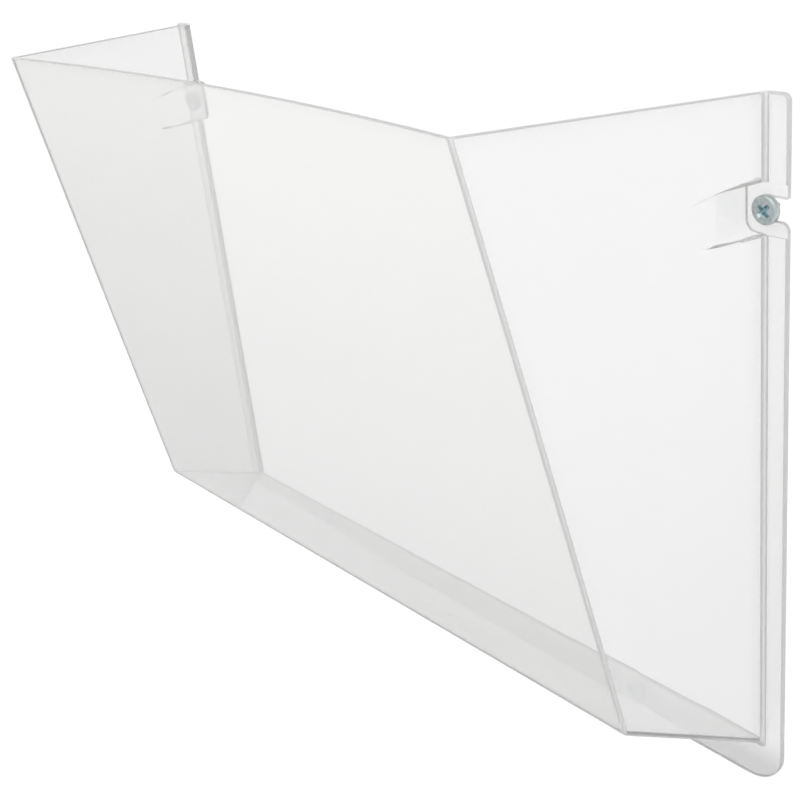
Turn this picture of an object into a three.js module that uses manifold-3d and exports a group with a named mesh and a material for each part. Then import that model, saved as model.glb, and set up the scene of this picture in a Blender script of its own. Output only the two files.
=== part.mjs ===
// Wall-mounted magazine rack: one clear moulded pocket and the four pan-head screws that hold it up.
// Millimetres, +Z up, +X to the right as seen from the front, +Y into the wall.
// The origin lies on the wall plane, in the middle of the lower flange strip.
import * as THREE from "three";
import { mergeVertices } from "three/addons/utils/BufferGeometryUtils.js";
import Module from "manifold-3d";

// Moulding
const WALL = 2.0; // thickness of the front, floor and side panels
const FLANGE = 2.4; // thickness of the flat flange against the wall
const LOWER_STRIP = 18; // height of the flange strip below the floor
const FLANGE_HALF_WIDTH = 183.5;
const LOWER_CORNER_RADIUS = 15; // of the flange
const UPPER_CORNER_RADIUS = 2.5;

// Pocket, measured on its outside
const BACK_HALF_WIDTH = 175; // at the flange
const FRONT_TOP_HALF_WIDTH = 146;
const FRONT_FOOT_HALF_WIDTH = 160.5;
const FLOOR_BACK_Z = LOWER_STRIP / 2; // where the floor meets the flange
const BACK_TOP_Z = FLOOR_BACK_Z + 256; // top of the flange and of the sides at the wall
const FRONT_TOP_Z = FLOOR_BACK_Z + 263.5; // top edge of the front panel
const FRONT_FOOT_Z = FLOOR_BACK_Z + 32.5; // bottom edge of the front panel
const FRONT_TOP_DEPTH = 106; // from the flange's front face
const FRONT_FOOT_DEPTH = 61.5;
const FRONT_BOW = 8; // how far the top of the front panel is drawn in at its middle

// Screws and what they pass through
const SIDE_SCREW_X = 176;
const SIDE_SCREW_Z = FLOOR_BACK_Z + 218;
const LOWER_SCREW_X = 109;
const LOWER_SCREW_Z = 0;
const SLOT_WIDTH = 8; // side slots, open to the outer edge of the flange
const SLOT_LIP_RADIUS = 3; // rounded lower lip of each slot
const HOLE_RADIUS = 2.9; // round holes in the lower strip
const RELIEF_REACH = 9; // channel for the screw head and driver, in from the screw's axis
const RELIEF_HALF_HEIGHT = 9;
const RELIEF_CORNER_RADIUS = 4;
const RELIEF_SINK = 0.4; // how far the channel is sunk into the flange
const HEAD_RADIUS = 5;
const HEAD_HEIGHT = 2.6;
const SHANK_RADIUS = 2.4;
const CORE_RADIUS = 1.8;
const SCREW_LENGTH = 6.5; // under the head
const THREAD_PITCH = 1.6;
const RECESS_ARM = 5.4; // tip to tip across the cross recess
const RECESS_WIDTH = 1.2;
const RECESS_DEPTH = 1.9;
const SEAT_GAP = 0.3; // between the screw head and the flange

const OVERRUN = 6; // how far a cutter runs past what it cuts
const ROUND_STEPS = 32;

const clearPlastic = { color: 0xeef1f0, roughness: 0.12, metalness: 0 };
const zincPlate = { color: 0xa9b4b6, roughness: 0.34, metalness: 1 };

const wasm = await Module();
wasm.setup();

function solidFrom(geometry) {
  const bare = geometry.clone();
  bare.deleteAttribute("normal");
  bare.deleteAttribute("uv");
  const merged = mergeVertices(bare, 1e-4);
  return new wasm.Manifold(new wasm.Mesh({
    numProp: 3,
    vertProperties: new Float32Array(merged.attributes.position.array),
    triVerts: new Uint32Array(merged.index.array),
  }));
}

function geometryFrom(solid) {
  const mesh = solid.getMesh();
  const geometry = new THREE.BufferGeometry();
  geometry.setAttribute("position", new THREE.BufferAttribute(mesh.vertProperties, 3));
  geometry.setIndex(new THREE.BufferAttribute(mesh.triVerts, 1));
  geometry.computeVertexNormals();
  return geometry;
}

function namedMesh(name, solid, finish) {
  const mesh = new THREE.Mesh(geometryFrom(solid), new THREE.MeshStandardMaterial(finish));
  mesh.name = name;
  return mesh;
}

// How far the side panels lean in for each millimetre they stand off the wall.
function sideLean(z) {
  const atFoot = (BACK_HALF_WIDTH - FRONT_FOOT_HALF_WIDTH) / FRONT_FOOT_DEPTH;
  const atTop = (BACK_HALF_WIDTH - FRONT_TOP_HALF_WIDTH) / FRONT_TOP_DEPTH;
  return THREE.MathUtils.mapLinear(z, FRONT_FOOT_Z, FRONT_TOP_Z, atFoot, atTop);
}

function halfWidth(y, z) {
  return BACK_HALF_WIDTH - (-FLANGE - y) * sideLean(z);
}

// A side profile is a quadrilateral in the Y-Z plane: the foot and head of its back and front edges.
const outerProfile = {
  backFoot: new THREE.Vector2(-FLANGE, FLOOR_BACK_Z),
  frontFoot: new THREE.Vector2(-FLANGE - FRONT_FOOT_DEPTH, FRONT_FOOT_Z),
  backHead: new THREE.Vector2(-FLANGE, BACK_TOP_Z),
  frontHead: new THREE.Vector2(-FLANGE - FRONT_TOP_DEPTH, FRONT_TOP_Z),
};

function crossing(startA, endA, startB, endB) {
  const along = endA.clone().sub(startA);
  const other = endB.clone().sub(startB);
  const between = startB.clone().sub(startA);
  return startA.clone().addScaledVector(along, between.cross(other) / along.cross(other));
}

// The hollow has the outside's floor and front lines moved in by one wall, and runs out of the top and back.
function hollowProfile() {
  const { backFoot, frontFoot, frontHead } = outerProfile;
  const floorWay = backFoot.clone().sub(frontFoot).normalize();
  const frontWay = frontHead.clone().sub(frontFoot).normalize();
  const floorIn = new THREE.Vector2(-floorWay.y, floorWay.x).multiplyScalar(WALL);
  const frontIn = new THREE.Vector2(frontWay.y, -frontWay.x).multiplyScalar(WALL);
  const floorStart = frontFoot.clone().add(floorIn);
  const floorEnd = backFoot.clone().add(floorIn);
  const frontStart = frontFoot.clone().add(frontIn);
  const frontEnd = frontHead.clone().add(frontIn);
  const back = [new THREE.Vector2(OVERRUN, 0), new THREE.Vector2(OVERRUN, 1)];
  const top = FRONT_TOP_Z + OVERRUN;
  const head = [new THREE.Vector2(0, top), new THREE.Vector2(1, top)];
  return {
    backFoot: crossing(floorStart, floorEnd, ...back),
    frontFoot: crossing(floorStart, floorEnd, frontStart, frontEnd),
    backHead: new THREE.Vector2(OVERRUN, top),
    frontHead: crossing(frontStart, frontEnd, ...head),
  };
}

// A block between the two sides with the given profile, drawn in at the top of its front face.
function pocketBlock(profile, sideInset) {
  const geometry = new THREE.BoxGeometry(2, 1, 1, 16, 4, 12);
  const position = geometry.attributes.position;
  for (let index = 0; index < position.count; index += 1) {
    const across = position.getX(index);
    const forward = 0.5 - position.getY(index);
    const up = position.getZ(index) + 0.5;
    const foot = profile.backFoot.clone().lerp(profile.frontFoot, forward);
    const head = profile.backHead.clone().lerp(profile.frontHead, forward);
    const place = foot.lerp(head, up);
    const rise = (place.y - FRONT_FOOT_Z) / (FRONT_TOP_Z - FRONT_FOOT_Z);
    const bow = forward * FRONT_BOW * (1 - across ** 2) * Math.max(rise, 0) ** 2;
    const x = across * (halfWidth(place.x, place.y) - sideInset);
    position.setXYZ(index, x, place.x + bow, place.y);
  }
  return solidFrom(geometry);
}

// Flat shapes are drawn in X-Z and given their thickness along Y, towards the front from backY.
function plate(shape, thickness, backY) {
  const geometry = new THREE.ExtrudeGeometry(shape, {
    depth: thickness,
    bevelEnabled: false,
    curveSegments: ROUND_STEPS / 4,
  });
  geometry.rotateX(Math.PI / 2);
  geometry.translate(0, backY, 0);
  return solidFrom(geometry);
}

function flangeOutline() {
  const foot = -LOWER_STRIP / 2;
  const lowerX = FLANGE_HALF_WIDTH - LOWER_CORNER_RADIUS;
  const lowerZ = foot + LOWER_CORNER_RADIUS;
  const upperX = FLANGE_HALF_WIDTH - UPPER_CORNER_RADIUS;
  const upperZ = BACK_TOP_Z - UPPER_CORNER_RADIUS;
  const outline = new THREE.Shape();
  outline.moveTo(-lowerX, foot);
  outline.lineTo(lowerX, foot);
  outline.absarc(lowerX, lowerZ, LOWER_CORNER_RADIUS, -Math.PI / 2, 0);
  outline.absarc(upperX, upperZ, UPPER_CORNER_RADIUS, 0, Math.PI / 2);
  outline.absarc(-upperX, upperZ, UPPER_CORNER_RADIUS, Math.PI / 2, Math.PI);
  outline.absarc(-lowerX, lowerZ, LOWER_CORNER_RADIUS, Math.PI, 1.5 * Math.PI);
  return outline;
}

// Slot for the right side, round at its inner end, with its lower lip rounded over at the outer edge.
function slotOutline() {
  const half = SLOT_WIDTH / 2;
  const out = FLANGE_HALF_WIDTH + OVERRUN;
  const lipX = FLANGE_HALF_WIDTH - SLOT_LIP_RADIUS;
  const lipZ = SIDE_SCREW_Z - half - SLOT_LIP_RADIUS;
  const outline = new THREE.Shape();
  outline.moveTo(out, SIDE_SCREW_Z + half);
  outline.lineTo(SIDE_SCREW_X, SIDE_SCREW_Z + half);
  outline.absarc(SIDE_SCREW_X, SIDE_SCREW_Z, half, Math.PI / 2, 1.5 * Math.PI);
  outline.absarc(lipX, lipZ, SLOT_LIP_RADIUS, Math.PI / 2, 0, true);
  outline.lineTo(out, lipZ);
  return outline;
}

// Channel beside the right slot, open to the outer side, its section grown by the given amount.
function reliefOutline(grown) {
  const inner = SIDE_SCREW_X - RELIEF_REACH - grown;
  const half = RELIEF_HALF_HEIGHT + grown;
  const radius = RELIEF_CORNER_RADIUS + grown;
  const out = FLANGE_HALF_WIDTH + OVERRUN;
  const outline = new THREE.Shape();
  outline.moveTo(out, SIDE_SCREW_Z + half);
  outline.lineTo(inner + radius, SIDE_SCREW_Z + half);
  outline.absarc(inner + radius, SIDE_SCREW_Z + half - radius, radius, Math.PI / 2, Math.PI);
  outline.absarc(inner + radius, SIDE_SCREW_Z - half + radius, radius, Math.PI, 1.5 * Math.PI);
  outline.lineTo(out, SIDE_SCREW_Z - half);
  return outline;
}

function relief(grown, backY) {
  return plate(reliefOutline(grown), backY + FLANGE + FRONT_TOP_DEPTH, backY);
}

function hole(x, z, radius) {
  const geometry = new THREE.CylinderGeometry(radius, radius, FLANGE + 2 * OVERRUN, ROUND_STEPS);
  geometry.translate(x, 0, z);
  return solidFrom(geometry);
}

function bothSides(solid) {
  return solid.add(solid.mirror([1, 0, 0]));
}

function pocket() {
  const hollow = pocketBlock(hollowProfile(), WALL * Math.hypot(1, sideLean(FRONT_TOP_Z)));
  return pocketBlock(outerProfile, 0)
    .add(plate(flangeOutline(), FLANGE, 0))
    .subtract(bothSides(relief(0, -FLANGE + RELIEF_SINK)))
    .subtract(hollow.subtract(bothSides(relief(WALL, 2 * OVERRUN))))
    .subtract(bothSides(hole(LOWER_SCREW_X, LOWER_SCREW_Z, HOLE_RADIUS)))
    .subtract(bothSides(plate(slotOutline(), FLANGE + 2 * OVERRUN, OVERRUN)));
}

// Pan-head screw along Y: domed head towards the front, ringed thread and cone point into the wall.
function screw() {
  const points = [new THREE.Vector2(0, -HEAD_HEIGHT)];
  const domeSteps = 6;
  for (let step = 0; step <= domeSteps; step += 1) {
    const turn = (Math.PI / 2) * (step / domeSteps);
    const radius = HEAD_RADIUS * 0.5 + HEAD_RADIUS * 0.5 * Math.sin(turn);
    const y = -HEAD_HEIGHT * 0.35 - HEAD_HEIGHT * 0.65 * Math.cos(turn);
    points.push(new THREE.Vector2(radius, y));
  }
  points.push(new THREE.Vector2(HEAD_RADIUS, 0), new THREE.Vector2(CORE_RADIUS, 0));
  const pointLength = SHANK_RADIUS;
  const turns = Math.floor((SCREW_LENGTH - pointLength) / THREAD_PITCH);
  for (let turn = 0; turn < turns; turn += 1) {
    const y = SCREW_LENGTH - pointLength - (turns - turn) * THREAD_PITCH;
    points.push(new THREE.Vector2(CORE_RADIUS, y + THREAD_PITCH * 0.1));
    points.push(new THREE.Vector2(SHANK_RADIUS, y + THREAD_PITCH * 0.5));
    points.push(new THREE.Vector2(CORE_RADIUS, y + THREAD_PITCH * 0.9));
  }
  points.push(new THREE.Vector2(CORE_RADIUS * 0.9, SCREW_LENGTH - pointLength));
  points.push(new THREE.Vector2(0, SCREW_LENGTH));
  let solid = solidFrom(new THREE.LatheGeometry(points, ROUND_STEPS * 0.75));
  for (const turn of [Math.PI / 4, -Math.PI / 4]) {
    const arm = new THREE.BoxGeometry(RECESS_ARM, 2 * RECESS_DEPTH, RECESS_WIDTH);
    arm.rotateY(turn);
    arm.translate(0, -HEAD_HEIGHT, 0);
    solid = solid.subtract(solidFrom(arm));
  }
  return solid;
}

function placedScrew(name, x, z, seatY) {
  const mesh = namedMesh(name, screw(), zincPlate);
  mesh.position.set(x, seatY - SEAT_GAP, z);
  return mesh;
}

const rack = new THREE.Group();
rack.add(namedMesh("pocket", pocket(), clearPlastic));
for (const [sideName, side] of [["left", -1], ["right", 1]]) {
  const sunkFace = -FLANGE + RELIEF_SINK;
  rack.add(placedScrew(`upper_${sideName}_screw`, side * SIDE_SCREW_X, SIDE_SCREW_Z, sunkFace));
  rack.add(placedScrew(`lower_${sideName}_screw`, side * LOWER_SCREW_X, LOWER_SCREW_Z, -FLANGE));
}

export default rack;
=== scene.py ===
"""A clear wall-mounted magazine rack: one moulded pocket and its four zinc-plated screws."""
import math

import bmesh
import bpy
from mathutils import Matrix, Vector


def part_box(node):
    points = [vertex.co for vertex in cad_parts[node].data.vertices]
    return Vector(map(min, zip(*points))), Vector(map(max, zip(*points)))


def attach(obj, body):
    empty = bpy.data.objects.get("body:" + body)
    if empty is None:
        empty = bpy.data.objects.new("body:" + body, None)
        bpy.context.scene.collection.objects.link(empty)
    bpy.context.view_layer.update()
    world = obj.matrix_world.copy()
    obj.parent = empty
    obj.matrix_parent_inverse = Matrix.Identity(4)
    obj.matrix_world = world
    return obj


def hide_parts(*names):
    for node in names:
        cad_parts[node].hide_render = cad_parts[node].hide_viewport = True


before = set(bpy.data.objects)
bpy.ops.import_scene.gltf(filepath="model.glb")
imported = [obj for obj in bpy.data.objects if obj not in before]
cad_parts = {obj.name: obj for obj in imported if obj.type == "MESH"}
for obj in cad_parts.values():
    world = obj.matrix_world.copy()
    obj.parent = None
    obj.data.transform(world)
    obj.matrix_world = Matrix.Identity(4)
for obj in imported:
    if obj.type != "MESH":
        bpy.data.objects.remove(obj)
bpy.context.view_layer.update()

MM = 0.001

# Moulding, as in the CAD part
WALL = 2.0 * MM
FLANGE = 2.4 * MM
BACK_HALF_WIDTH = 175 * MM
FRONT_TOP_HALF_WIDTH = 146 * MM
FRONT_FOOT_HALF_WIDTH = 160.5 * MM
FRONT_FOOT_RISE = 32.5 * MM
FRONT_FOOT_DEPTH = 61.5 * MM
SIDE_RISE = 256 * MM
FRONT_BOW = 8 * MM
LOWER_CORNER_RADIUS = 15 * MM
UPPER_CORNER_RADIUS = 2.5 * MM
SLOT_WIDTH = 8 * MM
SLOT_LIP_RADIUS = 3 * MM
HOLE_RADIUS = 2.9 * MM
RELIEF_REACH = 9 * MM
RELIEF_HALF_HEIGHT = 9 * MM
RELIEF_CORNER_RADIUS = 4 * MM
RELIEF_SINK = 0.4 * MM
OVERRUN = 6 * MM

# Not in the CAD part: rounded edges, a thinner wall beside the relief, and duller narrow faces
OUTER_EDGE_RADIUS = 1.6 * MM
INNER_EDGE_RADIUS = 0.5 * MM
LEAST_RADIUS = 0.02 * MM
JOINT_FILLET = 1.5 * MM
RIM_ROUND = 0.5 * MM
RELIEF_WALL = 0.5 * MM
SHARP_ANGLE = math.radians(28)
WELD = 0.02 * MM
SLACK = 0.05 * MM
RELIEF_LENGTH = 40 * MM
LYING_ALONG = 0.1
FACING_UP = 0.9
CLEAR, DULL = 0, 1

pocket_low, pocket_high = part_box("pocket")
FLANGE_HALF_WIDTH = pocket_high.x
LOWER_EDGE_Z = pocket_low.z
FRONT_TOP_DEPTH = -FLANGE - pocket_low.y
FRONT_TOP_Z = pocket_high.z
FLOOR_BACK_Z = -LOWER_EDGE_Z
FRONT_FOOT_Z = FLOOR_BACK_Z + FRONT_FOOT_RISE
BACK_TOP_Z = FLOOR_BACK_Z + SIDE_RISE


def middle(node):
    low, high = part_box(node)
    return (low + high) / 2


SIDE_SCREW = middle("upper_right_screw")
LOWER_SCREW = middle("lower_right_screw")


def mesh_object(name, mesh):
    item = bpy.data.objects.new(name, mesh)
    bpy.context.scene.collection.objects.link(item)
    return item


def object_from_bmesh(name, shape):
    bmesh.ops.recalc_face_normals(shape, faces=shape.faces)
    mesh = bpy.data.meshes.new(name)
    shape.to_mesh(mesh)
    shape.free()
    return mesh_object(name, mesh)


def combine(item, tool, operation):
    """Joins or cuts item with tool, and throws tool away."""
    change = item.modifiers.new("combine", "BOOLEAN")
    change.solver = "EXACT"
    change.operation = operation
    change.object = tool
    result = bpy.data.meshes.new_from_object(item.evaluated_get(bpy.context.evaluated_depsgraph_get()))
    item.modifiers.clear()
    item.data = result
    bpy.data.objects.remove(tool)


# The pocket's panels

def side_lean(z):
    at_foot = (BACK_HALF_WIDTH - FRONT_FOOT_HALF_WIDTH) / FRONT_FOOT_DEPTH
    at_top = (BACK_HALF_WIDTH - FRONT_TOP_HALF_WIDTH) / FRONT_TOP_DEPTH
    share = (z - FRONT_FOOT_Z) / (FRONT_TOP_Z - FRONT_FOOT_Z)
    return at_foot + (at_top - at_foot) * share


def half_width(y, z):
    return BACK_HALF_WIDTH - (-FLANGE - y) * side_lean(z)


def crossing(start_a, end_a, start_b, end_b):
    along = end_a - start_a
    other = end_b - start_b
    between = start_b - start_a
    return start_a + along * (between.cross(other) / along.cross(other))


def outer_profile():
    back_foot = Vector((-FLANGE, FLOOR_BACK_Z))
    front_foot = Vector((-FLANGE - FRONT_FOOT_DEPTH, FRONT_FOOT_Z))
    back_head = Vector((-FLANGE, BACK_TOP_Z))
    front_head = Vector((-FLANGE - FRONT_TOP_DEPTH, FRONT_TOP_Z))
    return back_foot, front_foot, back_head, front_head


def into_flange(profile):
    """The outside's profile carried on to the middle of the flange, so that the two solids join."""
    back_foot, front_foot, back_head, front_head = profile
    back = (Vector((-FLANGE / 2, 0)), Vector((-FLANGE / 2, 1)))
    return (
        crossing(back_foot, front_foot, *back),
        front_foot,
        crossing(back_head, front_head, *back),
        front_head,
    )


def hollow_profile():
    back_foot, front_foot, _, front_head = outer_profile()
    floor_way = (back_foot - front_foot).normalized()
    front_way = (front_head - front_foot).normalized()
    floor_in = Vector((-floor_way.y, floor_way.x)) * WALL
    front_in = Vector((front_way.y, -front_way.x)) * WALL
    floor_line = (front_foot + floor_in, back_foot + floor_in)
    front_line = (front_foot + front_in, front_head + front_in)
    top = FRONT_TOP_Z + OVERRUN
    back = (Vector((OVERRUN, 0)), Vector((OVERRUN, 1)))
    head = (Vector((0, top)), Vector((1, top)))
    return (
        crossing(*floor_line, *back),
        crossing(*floor_line, *front_line),
        Vector((OVERRUN, top)),
        crossing(*front_line, *head),
    )


def rounded_corner(corner, way_in, way_out, radius, steps):
    """Points of an arc that rounds a corner off. Both ways point away from the corner."""
    half = way_in.angle(way_out) / 2
    centre = corner + (way_in + way_out).normalized() * (radius / math.sin(half))
    reach = radius / math.tan(half)
    first = corner + way_in * reach - centre
    last = corner + way_out * reach - centre
    turn = first.angle_signed(last)
    return [centre + Matrix.Rotation(-turn * step / steps, 2) @ first for step in range(steps + 1)]


def section(profile, up, side_inset, edge_inset, radius):
    """One U-shaped ring of the block, from the back on the left round the front to the back on the right."""
    back_foot, front_foot, back_head, front_head = profile
    back = back_foot.lerp(back_head, up)
    front = front_foot.lerp(front_head, up)
    inset = side_inset + edge_inset

    def side_point(y, z):
        return Vector((half_width(y, z) - inset, y))

    rise_way = (front.y - back.y) / (front.x - back.x)
    front_y = front.x + edge_inset
    corner = side_point(front_y, back.y + rise_way * (front_y - back.x))
    tail = side_point(back.x, back.y)
    way_back = (tail - corner).normalized()
    arc = rounded_corner(corner, way_back, Vector((-1, 0)), max(radius - edge_inset, LEAST_RADIUS), 5)
    side_steps, front_steps = 6, 24
    half = [tail.lerp(arc[0], step / side_steps) for step in range(side_steps)] + arc
    flat = arc[-1]
    for step in range(1, front_steps // 2 + 1):
        half.append(Vector((flat.x * (1 - 2 * step / front_steps), flat.y)))
    ring = []
    for x, y in half:
        z = back.y + rise_way * (y - back.x)
        forward = (y - back.x) / (front.x - back.x)
        across = x / (half_width(y, z) - side_inset)
        share = max((z - FRONT_FOOT_Z) / (FRONT_TOP_Z - FRONT_FOOT_Z), 0)
        bow = forward * FRONT_BOW * (1 - across ** 2) * share ** 2
        ring.append(Vector((x, y + bow, z)))
    return [Vector((-p.x, p.y, p.z)) for p in ring[:-1]] + ring[::-1]


def pocket_block(name, profile, side_inset, radius):
    """A solid with the pocket's slanted sides, its upright and lower edges rounded off."""
    rings = []
    depth = (profile[2] - profile[0]).length
    round_steps, tall_steps = 5, 16
    for step in range(round_steps):
        turn = math.pi / 2 * step / round_steps
        rings.append((radius * (1 - math.cos(turn)) / depth, radius * (1 - math.sin(turn))))
    foot = radius / depth
    for step in range(tall_steps + 1):
        rings.append((foot + (1 - foot) * step / tall_steps, 0.0))
    shape = bmesh.new()
    loops = []
    for up, edge_inset in rings:
        places = section(profile, up, side_inset, edge_inset, radius)
        loops.append([shape.verts.new(place) for place in places])
    count = len(loops[0])
    for lower, upper in zip(loops, loops[1:]):
        for index in range(count):
            after = (index + 1) % count
            shape.faces.new((lower[index], lower[after], upper[after], upper[index]))
    shape.faces.new(loops[0])
    shape.faces.new(loops[-1])
    return object_from_bmesh(name, shape)


def arc_points(x, z, radius, start, end, steps):
    return [
        (x + radius * math.cos(turn), z + radius * math.sin(turn))
        for turn in (math.radians(start + (end - start) * step / steps) for step in range(steps + 1))
    ]


def plate(name, outline, front_y, back_y):
    shape = bmesh.new()
    face = shape.faces.new([shape.verts.new((x, front_y, z)) for x, z in outline])
    made = bmesh.ops.extrude_face_region(shape, geom=[face])
    moved = [item for item in made["geom"] if isinstance(item, bmesh.types.BMVert)]
    bmesh.ops.translate(shape, verts=moved, vec=(0, back_y - front_y, 0))
    return object_from_bmesh(name, shape)


def flange_plate():
    low = LOWER_EDGE_Z + LOWER_CORNER_RADIUS
    high = BACK_TOP_Z - UPPER_CORNER_RADIUS
    lower = FLANGE_HALF_WIDTH - LOWER_CORNER_RADIUS
    upper = FLANGE_HALF_WIDTH - UPPER_CORNER_RADIUS
    outline = arc_points(lower, low, LOWER_CORNER_RADIUS, -90, 0, 14)
    outline += arc_points(upper, high, UPPER_CORNER_RADIUS, 0, 90, 7)
    outline += arc_points(-upper, high, UPPER_CORNER_RADIUS, 90, 180, 7)
    outline += arc_points(-lower, low, LOWER_CORNER_RADIUS, 180, 270, 14)
    return plate("flange", outline, -FLANGE, 0)


def slot_cutter(side):
    half = SLOT_WIDTH / 2
    out = FLANGE_HALF_WIDTH + OVERRUN
    lip_x = FLANGE_HALF_WIDTH - SLOT_LIP_RADIUS
    lip_z = SIDE_SCREW.z - half - SLOT_LIP_RADIUS
    outline = [(out, SIDE_SCREW.z + half)]
    outline += arc_points(SIDE_SCREW.x, SIDE_SCREW.z, half, 90, 270, 16)
    outline += arc_points(lip_x, lip_z, SLOT_LIP_RADIUS, 90, 0, 8)
    outline.append((out, lip_z))
    return plate("slot", [(side * x, z) for x, z in outline], -FLANGE - OVERRUN, OVERRUN)


def relief(side, grown, back_y):
    """The channel beside a side slot that leaves room for the screw's head and the driver."""
    inner = SIDE_SCREW.x - RELIEF_REACH - grown
    half = RELIEF_HALF_HEIGHT + grown
    radius = RELIEF_CORNER_RADIUS + grown
    out = FLANGE_HALF_WIDTH + OVERRUN
    outline = [(out, SIDE_SCREW.z + half)]
    outline += arc_points(inner + radius, SIDE_SCREW.z + half - radius, radius, 90, 180, 8)
    outline += arc_points(inner + radius, SIDE_SCREW.z - half + radius, radius, 180, 270, 8)
    outline.append((out, SIDE_SCREW.z - half))
    return plate("relief", [(side * x, z) for x, z in outline], pocket_low.y - OVERRUN, back_y)


def hole_cutter(side):
    outline = arc_points(side * LOWER_SCREW.x, LOWER_SCREW.z, HOLE_RADIUS, 0, 360, 64)[:-1]
    return plate("hole", outline, -FLANGE - OVERRUN, OVERRUN)


def moulding():
    lean = math.hypot(1, side_lean(FRONT_TOP_Z))
    hollow = pocket_block("hollow", hollow_profile(), WALL * lean, INNER_EDGE_RADIUS)
    body = pocket_block("pocket_moulding", into_flange(outer_profile()), 0.0, OUTER_EDGE_RADIUS)
    combine(body, flange_plate(), "UNION")
    for side in (-1, 1):
        combine(hollow, relief(side, RELIEF_WALL, 2 * OVERRUN), "DIFFERENCE")
        combine(body, relief(side, 0.0, -FLANGE + RELIEF_SINK), "DIFFERENCE")
        combine(body, hole_cutter(side), "DIFFERENCE")
    combine(body, hollow, "DIFFERENCE")
    for side in (-1, 1):
        combine(body, slot_cutter(side), "DIFFERENCE")
    return body


def rounding_of(edge):
    """How far to round an edge: a fillet where the walls join the flange, nothing round the thin relief."""
    ys = [vert.co.y for vert in edge.verts]
    zs = [vert.co.z for vert in edge.verts]
    relief_top = RELIEF_HALF_HEIGHT + RELIEF_WALL + SLACK
    if all(abs(z - SIDE_SCREW.z) < relief_top for z in zs):
        if all(y < -FLANGE + RELIEF_SINK + SLACK for y in ys):
            return 0
    in_step = all(-FLANGE - SLACK < y < -FLANGE + RELIEF_SINK + SLACK for y in ys)
    if in_step and edge.calc_face_angle_signed() < 0:
        return JOINT_FILLET
    return RIM_ROUND


def is_dull(face):
    """Narrow faces are duller: round the flange and its slots, along the open top, in rounded edges."""
    centre = face.calc_center_median()
    if all(vert.co.y > -FLANGE - SLACK for vert in face.verts):
        return abs(face.normal.y) < LYING_ALONG
    beside_screw = abs(centre.z - SIDE_SCREW.z) < RELIEF_HALF_HEIGHT + WALL
    if beside_screw and centre.y > -RELIEF_LENGTH:
        return False
    if face.normal.z > FACING_UP and centre.z > BACK_TOP_Z - 2 * WALL:
        return True
    longest = max(edge.calc_length() for edge in face.edges)
    return face.calc_area() / longest < OUTER_EDGE_RADIUS / 2


def soften(item):
    """Rounds every sharp edge and shades the rest smooth."""
    shape = bmesh.new()
    shape.from_mesh(item.data)
    bmesh.ops.remove_doubles(shape, verts=shape.verts, dist=WELD)
    bmesh.ops.dissolve_degenerate(shape, edges=shape.edges, dist=WELD)
    bmesh.ops.recalc_face_normals(shape, faces=shape.faces)
    weight = shape.edges.layers.float.new("bevel_weight_edge")
    for edge in shape.edges:
        if edge.is_manifold and edge.calc_face_angle() > SHARP_ANGLE:
            edge[weight] = rounding_of(edge) / JOINT_FILLET
            edge.smooth = edge[weight] > 0
    for face in shape.faces:
        face.material_index = DULL if is_dull(face) else CLEAR
    shape.to_mesh(item.data)
    shape.free()
    rounding = item.modifiers.new("rounding", "BEVEL")
    rounding.width = JOINT_FILLET
    rounding.segments = 3
    rounding.limit_method = "WEIGHT"
    rounding.use_clamp_overlap = False
    rounding.harden_normals = True
    rounding.material = DULL
    item.data.shade_smooth()


# Screws. Shares are of the head's radius or height, but the point's is of the thread's radius.
# The ridge's half width is a share of the pitch.

HEAD_HEIGHT = 2.6 * MM
FACE_SHARE = 0.8
SHOULDER_SHARE = 0.3
CROWN_SHARE = 0.08
HEAD_EDGE_ROUND = 0.07 * MM
HEAD_EDGE_ANGLE = math.radians(35)
SCREW_WELD = 0.004 * MM
CORE_SHARE = 0.36
SHANK_SHARE = 0.48
THREAD_PITCH = 1.6 * MM
THREAD_STEPS = 10
RIDGE_HALF_WIDTH = 0.28
POINT_SHARE = 1.5
ROUND_STEPS = 64
RECESS_ARM = 3.2 * MM
RECESS_HALF_WIDTH = 0.78 * MM
RECESS_DEPTH = 1.0 * MM
RECESS_TOP_FLARE = (1.25, 1.2)
RECESS_FOOT_FLARE = (0.6, 0.8)
RECESS_HEART_TOP = 1.9 * MM
RECESS_HEART_FOOT = 0.8 * MM


def head_rings(radius):
    """Radius and height of a pan head's rings, from the middle of its face round to its underside."""
    face, shoulder = FACE_SHARE * radius, SHOULDER_SHARE * HEAD_HEIGHT
    crown = CROWN_SHARE * HEAD_HEIGHT
    rings = [(face * share, HEAD_HEIGHT - crown * share ** 2) for share in (0.25, 0.5, 0.75, 1)]
    steps = 7
    for step in range(1, steps + 1):
        turn = math.pi / 2 * step / steps
        out = face + (radius - face) * math.sin(turn)
        up = shoulder * math.cos(turn) ** 0.9 if step < steps else 0
        rings.append((out, HEAD_HEIGHT - crown - shoulder + up))
    rings += [(radius, 0.1 * HEAD_HEIGHT), (0.97 * radius, 0)]
    return rings


def thread_radius(turn, depth, length, core, crest):
    """Radius of a threaded shank with a pointed end."""
    point = POINT_SHARE * crest
    to_tip = max(length - depth, 0)
    taper = min(to_tip / point, 1) ** 0.8
    along = (depth / THREAD_PITCH - turn / (2 * math.pi)) % 1
    ridge = max(1 - abs(along - 0.5) / RIDGE_HALF_WIDTH, 0)
    grown = min(depth / THREAD_PITCH, 1)
    return taper * (core + (crest - core) * ridge * grown)


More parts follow.
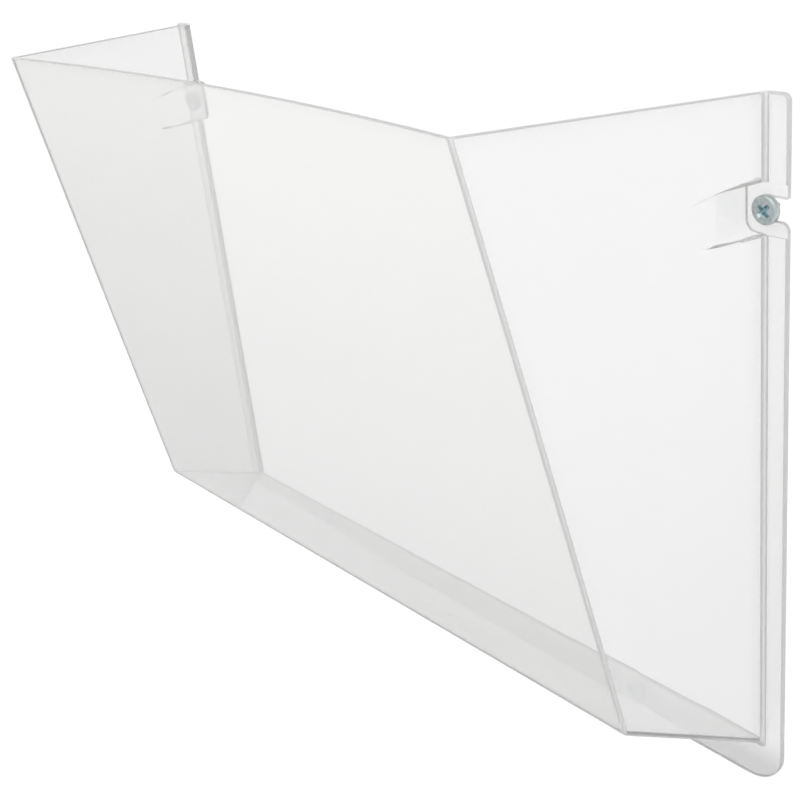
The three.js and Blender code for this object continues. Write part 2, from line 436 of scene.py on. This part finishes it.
def screw_blank(name, radius, length):
    """Head and threaded shank in one skin, along +Y from the underside of the head."""
    core, crest = CORE_SHARE * radius, SHANK_SHARE * radius
    shape = bmesh.new()
    turns = [2 * math.pi * step / ROUND_STEPS for step in range(ROUND_STEPS)]

    def ring(y, radii):
        places = [(out * math.cos(turn), y, out * math.sin(turn)) for turn, out in zip(turns, radii)]
        return [shape.verts.new(place) for place in places]

    loops = [ring(-up, [out] * ROUND_STEPS) for out, up in head_rings(radius)]
    steps = round(length / THREAD_PITCH * THREAD_STEPS)
    for step in range(steps):
        depth = length * step / steps
        loops.append(ring(depth, [thread_radius(turn, depth, length, core, crest) for turn in turns]))
    for first, second in zip(loops, loops[1:]):
        for index in range(ROUND_STEPS):
            after = (index + 1) % ROUND_STEPS
            shape.faces.new((first[index], first[after], second[after], second[index]))
    for end, y in ((loops[0], -HEAD_HEIGHT), (loops[-1], length)):
        tip = shape.verts.new((0, y, 0))
        for index in range(ROUND_STEPS):
            shape.faces.new((end[index], end[(index + 1) % ROUND_STEPS], tip))
    return object_from_bmesh(name, shape)


def recess_arm(turn):
    """One bar of the cross recess, narrower and shorter at its bottom."""
    shape = bmesh.new()
    corners = []
    for way, (lengthened, widened) in ((-1, RECESS_TOP_FLARE), (1, RECESS_FOOT_FLARE)):
        y = -HEAD_HEIGHT + way * RECESS_DEPTH
        long, half = RECESS_ARM * lengthened, RECESS_HALF_WIDTH * widened
        places = [(-long, y, -half), (long, y, -half), (long, y, half), (-long, y, half)]
        corners.append([shape.verts.new(place) for place in places])
    shape.faces.new(corners[0])
    shape.faces.new(corners[1])
    for index in range(4):
        after = (index + 1) % 4
        shape.faces.new((corners[0][index], corners[0][after], corners[1][after], corners[1][index]))
    bmesh.ops.rotate(shape, verts=shape.verts, matrix=Matrix.Rotation(turn, 3, "Y"))
    return object_from_bmesh("recess_arm", shape)


def recess_heart():
    """The round, tapered middle of the cross recess."""
    shape = bmesh.new()
    turned = Matrix.Translation((0, -HEAD_HEIGHT, 0)) @ Matrix.Rotation(math.radians(-90), 4, "X")
    bmesh.ops.create_cone(
        shape,
        cap_ends=True,
        segments=24,
        radius1=RECESS_HEART_TOP,
        radius2=RECESS_HEART_FOOT,
        depth=2 * RECESS_DEPTH,
        matrix=turned,
    )
    return object_from_bmesh("recess_heart", shape)


def make_screw(node, finish):
    """One screw in place of a CAD screw, filling the same box."""
    low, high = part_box(node)
    centre = (low + high) / 2
    screw = screw_blank(node + "_turned", (high.x - low.x) / 2, high.y - low.y - HEAD_HEIGHT)
    for turn in (math.pi / 4, -math.pi / 4):
        combine(screw, recess_arm(turn), "DIFFERENCE")
    combine(screw, recess_heart(), "DIFFERENCE")
    shape = bmesh.new()
    shape.from_mesh(screw.data)
    bmesh.ops.remove_doubles(shape, verts=shape.verts, dist=SCREW_WELD)
    shape.to_mesh(screw.data)
    shape.free()
    screw.location = (centre.x, low.y + HEAD_HEIGHT, centre.z)
    screw.data.shade_smooth()
    edges = screw.modifiers.new("edges", "BEVEL")
    edges.width = HEAD_EDGE_ROUND
    edges.segments = 2
    edges.limit_method = "ANGLE"
    edges.angle_limit = HEAD_EDGE_ANGLE
    edges.use_clamp_overlap = False
    edges.harden_normals = True
    screw.data.materials.append(finish)
    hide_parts(node)
    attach(screw, "root")


# Materials

PLASTIC_IOR = 1.5
# Painted shade: the plastic darkens towards its foot and is darkest on the flange strip at the bottom, where
# less light from above falls
STRIP_PAINTED_SHADE = 0.62
FOOT_PAINTED_SHADE = 0.825
TOP_PAINTED_SHADE = 0.91
STRIP_SHARE = 0.03
FOOT_SHARE = 0.075
# Painted shade on the front panel, darker towards its foot
FRONT_FOOT_PAINTED_SHADE = 0.89
FRONT_TOP_PAINTED_SHADE = 0.98
SHADE_TINT = 0.93
BODY_TINT = (0.5, 0.5, 0.49, 1)
BODY_DEPTH = 15
FRONT_FACING = (0.7, 0.92)
FRONT_START_Y = -20 * MM
FRONT_FULL_Y = -40 * MM
PIN_X = 179.6 * MM
PIN_HEIGHTS = (15 * MM, 133 * MM, 203 * MM)
PIN_RADIUS = 3 * MM
PIN_SLOPE = 0.8 * MM
PIN_DEPTH = 0.1 * MM
PIN_STRENGTH = 0.6
HAZE_SCALE = 35
MOTTLE_SCALE = 900
MOTTLE_DEPTH = 0.05 * MM
MOTTLE_STRENGTH = 0.25
ZINC_METALLIC = 0.75
ZINC_SMOOTHEST = 0.24
ZINC_DULLEST = 0.42
DARK_ZINC = (0.36, 0.42, 0.43, 1)
LIGHT_ZINC = (0.55, 0.59, 0.58, 1)
BLUE_ZINC = (0.24, 0.40, 0.45, 1)
BLUE_BELOW_FACE = (-0.88 * HEAD_HEIGHT, -0.7 * HEAD_HEIGHT)
BLUE_IN_HEAD = (-0.1 * HEAD_HEIGHT, -0.3 * HEAD_HEIGHT)
BLUE_NEAR_AXIS = (3.5 * MM, 3.0 * MM)


class NodeBuilder:
    """Short ways to make and join the nodes of one material."""

    def __init__(self, name):
        self.material = bpy.data.materials.new(name)
        self.material.use_nodes = True
        self.nodes = self.material.node_tree.nodes
        self.links = self.material.node_tree.links
        self.shader = self.nodes["Principled BSDF"]
        self.output = self.nodes["Material Output"]

    def add(self, kind, **settings):
        node = self.nodes.new("ShaderNode" + kind)
        for key, value in settings.items():
            setattr(node, key, value)
        return node

    def join(self, source, target):
        self.links.new(source, target)

    def calculate(self, operation, first, second=0.0):
        node = self.add("Math", operation=operation)
        self.join(first, node.inputs[0])
        if isinstance(second, float):
            node.inputs[1].default_value = second
        else:
            self.join(second, node.inputs[1])
        return node.outputs[0]

    def mapped(self, value, start=0.0, end=1.0, low=0.0, high=1.0, interpolation="LINEAR"):
        node = self.add("MapRange", interpolation_type=interpolation)
        node.inputs["From Min"].default_value = start
        node.inputs["From Max"].default_value = end
        node.inputs["To Min"].default_value = low
        node.inputs["To Max"].default_value = high
        self.join(value, node.inputs["Value"])
        return node.outputs["Result"]

    def ramp(self, value, *stops):
        """A colour ramp with a stop for each (position, colour), the first and last given first."""
        node = self.add("ValToRGB")
        elements = node.color_ramp.elements
        for element, (place, colour) in zip(elements, stops):
            element.position = place
            element.color = colour
        for place, colour in stops[2:]:
            elements.new(place).color = colour
        self.join(value, node.inputs["Fac"])
        return node.outputs["Color"]

    def noise(self, vector, scale, detail):
        node = self.add("TexNoise")
        node.inputs["Scale"].default_value = scale
        node.inputs["Detail"].default_value = detail
        self.join(vector, node.inputs["Vector"])
        return node.outputs["Fac"]

    def bump(self, height, strength, distance):
        node = self.add("Bump")
        node.inputs["Strength"].default_value = strength
        node.inputs["Distance"].default_value = distance
        self.join(height, node.inputs["Height"])
        self.join(node.outputs["Normal"], self.shader.inputs["Normal"])

    def split(self, vector):
        node = self.add("SeparateXYZ")
        self.join(vector, node.inputs[0])
        return node.outputs


def grey(level):
    return (level, level, 0.995 * level, 1)


def pin_distance(build, place):
    """Distance to the nearest ejector-pin mark, on either side of the flange."""

    def square(value, centre):
        off = build.calculate("ABSOLUTE", build.calculate("SUBTRACT", value, centre))
        return build.calculate("POWER", off, 2.0)

    across = square(build.calculate("ABSOLUTE", place["X"]), PIN_X)
    nearest = None
    for height in PIN_HEIGHTS:
        away = build.calculate("SQRT", build.calculate("ADD", across, square(place["Z"], height)))
        nearest = away if nearest is None else build.calculate("MINIMUM", nearest, away)
    return nearest


def on_front_panel(build, normal, place):
    """1 on the front panel, which gets extra painted shade, and 0 elsewhere."""
    turned = build.mapped(build.calculate("ABSOLUTE", build.split(normal)["Y"]), *FRONT_FACING)
    forward = build.mapped(place["Y"], FRONT_START_Y, FRONT_FULL_Y)
    return build.calculate("MULTIPLY", turned, forward)


def clear_plastic(name, clearness, smoothest, dullest, strength):
    """Clear polystyrene with painted shade that darkens it towards the foot and on the front panel. Strength
    is how far the painted shade by height goes.
    """
    build = NodeBuilder(name)
    shader = build.shader
    where = build.add("NewGeometry")
    place = build.split(where.outputs["Position"])
    height = build.mapped(place["Z"], LOWER_EDGE_Z, FRONT_TOP_Z)
    # Painted shade by height: darkest on the bottom strip, lighter towards the top
    strip, foot, head = (grey(painted_shade ** strength) for painted_shade in (STRIP_PAINTED_SHADE, FOOT_PAINTED_SHADE, TOP_PAINTED_SHADE))
    painted_shade = build.ramp(height, (STRIP_SHARE, strip), (1, head), (FOOT_SHARE, foot))
    # Painted shade on the front panel: darker towards its foot
    front_painted_shade = build.ramp(height, (0, grey(FRONT_FOOT_PAINTED_SHADE)), (1, grey(FRONT_TOP_PAINTED_SHADE)))
    painted_shades = build.add("Mix", data_type="RGBA", blend_type="MULTIPLY")
    build.join(on_front_panel(build, where.outputs["Normal"], place), painted_shades.inputs["Factor"])
    build.join(painted_shade, painted_shades.inputs["A"])
    build.join(front_painted_shade, painted_shades.inputs["B"])
    build.join(painted_shades.outputs["Result"], shader.inputs["Base Color"])
    shader.inputs["Transmission Weight"].default_value = clearness
    shader.inputs["IOR"].default_value = PLASTIC_IOR
    haze = build.noise(where.outputs["Position"], HAZE_SCALE, 4)
    build.join(build.mapped(haze, low=smoothest, high=dullest), shader.inputs["Roughness"])
    rim, floor = PIN_RADIUS, PIN_RADIUS - PIN_SLOPE
    dish = build.mapped(pin_distance(build, place), floor, rim, interpolation="SMOOTHSTEP")
    build.bump(dish, PIN_STRENGTH, PIN_DEPTH)
    shade = build.add("BsdfTransparent")
    shade.inputs["Color"].default_value = (SHADE_TINT, SHADE_TINT, SHADE_TINT, 1)
    path = build.add("LightPath")
    mix = build.add("MixShader")
    build.join(path.outputs["Is Shadow Ray"], mix.inputs["Fac"])
    build.join(shader.outputs["BSDF"], mix.inputs[1])
    build.join(shade.outputs["BSDF"], mix.inputs[2])
    build.join(mix.outputs["Shader"], build.output.inputs["Surface"])
    body = build.add("VolumeAbsorption")
    body.inputs["Color"].default_value = BODY_TINT
    body.inputs["Density"].default_value = BODY_DEPTH
    build.join(body.outputs["Volume"], build.output.inputs["Volume"])
    return build.material


def zinc_plate():
    """Bright zinc with a mottled blue passivation that is strongest inside the recess."""
    build = NodeBuilder("zinc_plate")
    shader = build.shader
    shader.inputs["Metallic"].default_value = ZINC_METALLIC
    where = build.add("TexCoord").outputs["Object"]
    along = build.split(where)["Y"]
    below_face = build.mapped(along, *BLUE_BELOW_FACE)
    in_head = build.mapped(along, *BLUE_IN_HEAD)
    flat = build.add("VectorMath", operation="MULTIPLY")
    flat.inputs[1].default_value = (1, 0, 1)
    build.join(where, flat.inputs[0])
    from_axis = build.add("VectorMath", operation="LENGTH")
    build.join(flat.outputs[0], from_axis.inputs[0])
    near_axis = build.mapped(from_axis.outputs["Value"], *BLUE_NEAR_AXIS)
    core = build.calculate("MULTIPLY", in_head, near_axis)
    mottle = build.noise(where, MOTTLE_SCALE, 5)
    tinted = build.add("Mix", data_type="RGBA")
    tinted.inputs["B"].default_value = BLUE_ZINC
    build.join(build.calculate("MULTIPLY", below_face, core), tinted.inputs["Factor"])
    build.join(build.ramp(mottle, (0.3, DARK_ZINC), (0.7, LIGHT_ZINC)), tinted.inputs["A"])
    build.join(tinted.outputs["Result"], shader.inputs["Base Color"])
    build.join(build.mapped(mottle, low=ZINC_SMOOTHEST, high=ZINC_DULLEST), shader.inputs["Roughness"])
    build.bump(mottle, MOTTLE_STRENGTH, MOTTLE_DEPTH)
    return build.material


# Stage

CAMERA_PLACE = Vector((0.4362, -0.3525, 0.3681))
CAMERA_TARGET = Vector((0.0133, -0.0374, 0.1247))
CAMERA_ROLL = math.radians(-6.89)
CAMERA_LENS = 61.08
SENSOR_WIDTH = 36
FLOOR_Z = -0.35
FLOOR_RADIUS = 14
FLOOR_GREY = (0.9, 0.9, 0.9, 1)
FLOOR_ROUGHNESS = 0.9
HORIZON_END = 0.25
OVERHEAD_START = 0.9
HORIZON_WHITE = (1, 1, 1, 1)
OVERHEAD_GREY = (0.6, 0.6, 0.61, 1)
LAMP_SPREAD = math.radians(70)
LAMP_STRENGTH = 1.45
LAMP_TILT = (math.radians(25), math.radians(10), 0)


def make_camera():
    """A camera placed and turned to the view that shows the front, the right side and the open top."""
    data = bpy.data.cameras.new("camera")
    data.lens = CAMERA_LENS
    data.sensor_width = SENSOR_WIDTH
    camera = bpy.data.objects.new("camera", data)
    bpy.context.scene.collection.objects.link(camera)
    look = (CAMERA_TARGET - CAMERA_PLACE).normalized()
    level = look.cross(Vector((0, 0, 1))).normalized()
    right = Matrix.Rotation(-CAMERA_ROLL, 3, look) @ level
    up = right.cross(look)
    turn = Matrix((right, up, -look)).transposed().to_4x4()
    camera.matrix_world = Matrix.Translation(CAMERA_PLACE) @ turn
    bpy.context.scene.camera = camera


def make_floor():
    shape = bmesh.new()
    bmesh.ops.create_circle(shape, cap_ends=True, segments=96, radius=FLOOR_RADIUS)
    bmesh.ops.translate(shape, verts=shape.verts, vec=(0, 0, FLOOR_Z))
    floor = object_from_bmesh("floor", shape)
    material = bpy.data.materials.new("paper_floor")
    material.use_nodes = True
    shader = material.node_tree.nodes["Principled BSDF"]
    shader.inputs["Base Color"].default_value = FLOOR_GREY
    shader.inputs["Roughness"].default_value = FLOOR_ROUGHNESS
    floor.data.materials.append(material)


def make_light():
    """A white surround that is dimmer overhead, and one very soft lamp from above."""
    world = bpy.data.worlds.new("studio")
    bpy.context.scene.world = world
    world.use_nodes = True
    nodes, links = world.node_tree.nodes, world.node_tree.links
    where = nodes.new("ShaderNodeTexCoord")
    split = nodes.new("ShaderNodeSeparateXYZ")
    ramp = nodes.new("ShaderNodeValToRGB")
    ramp.color_ramp.elements[0].position = HORIZON_END
    ramp.color_ramp.elements[0].color = HORIZON_WHITE
    ramp.color_ramp.elements[1].position = OVERHEAD_START
    ramp.color_ramp.elements[1].color = OVERHEAD_GREY
    links.new(where.outputs["Generated"], split.inputs[0])
    links.new(split.outputs["Z"], ramp.inputs[0])
    links.new(ramp.outputs[0], nodes["Background"].inputs["Color"])
    lamp = bpy.data.lights.new("overhead", "SUN")
    lamp.angle = LAMP_SPREAD
    lamp.energy = LAMP_STRENGTH
    item = bpy.data.objects.new("overhead", lamp)
    item.rotation_euler = LAMP_TILT
    bpy.context.scene.collection.objects.link(item)


make_camera()
make_floor()
make_light()
bpy.context.scene.view_settings.view_transform = "Standard"

pocket = moulding()
pocket.data.materials.clear()
# Both plastics carry the painted shade; on the narrow faces it is weaker
panels = clear_plastic("clear_plastic", clearness=0.78, smoothest=0.01, dullest=0.03, strength=1)
edges = clear_plastic("clear_plastic_edges", clearness=0.52, smoothest=0.5, dullest=0.65, strength=0.45)
pocket.data.materials.append(panels)
pocket.data.materials.append(edges)
soften(pocket)
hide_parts("pocket")
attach(pocket, "root")

zinc = zinc_plate()
for node in ("upper_left_screw", "upper_right_screw", "lower_left_screw", "lower_right_screw"):
    make_screw(node, zinc)
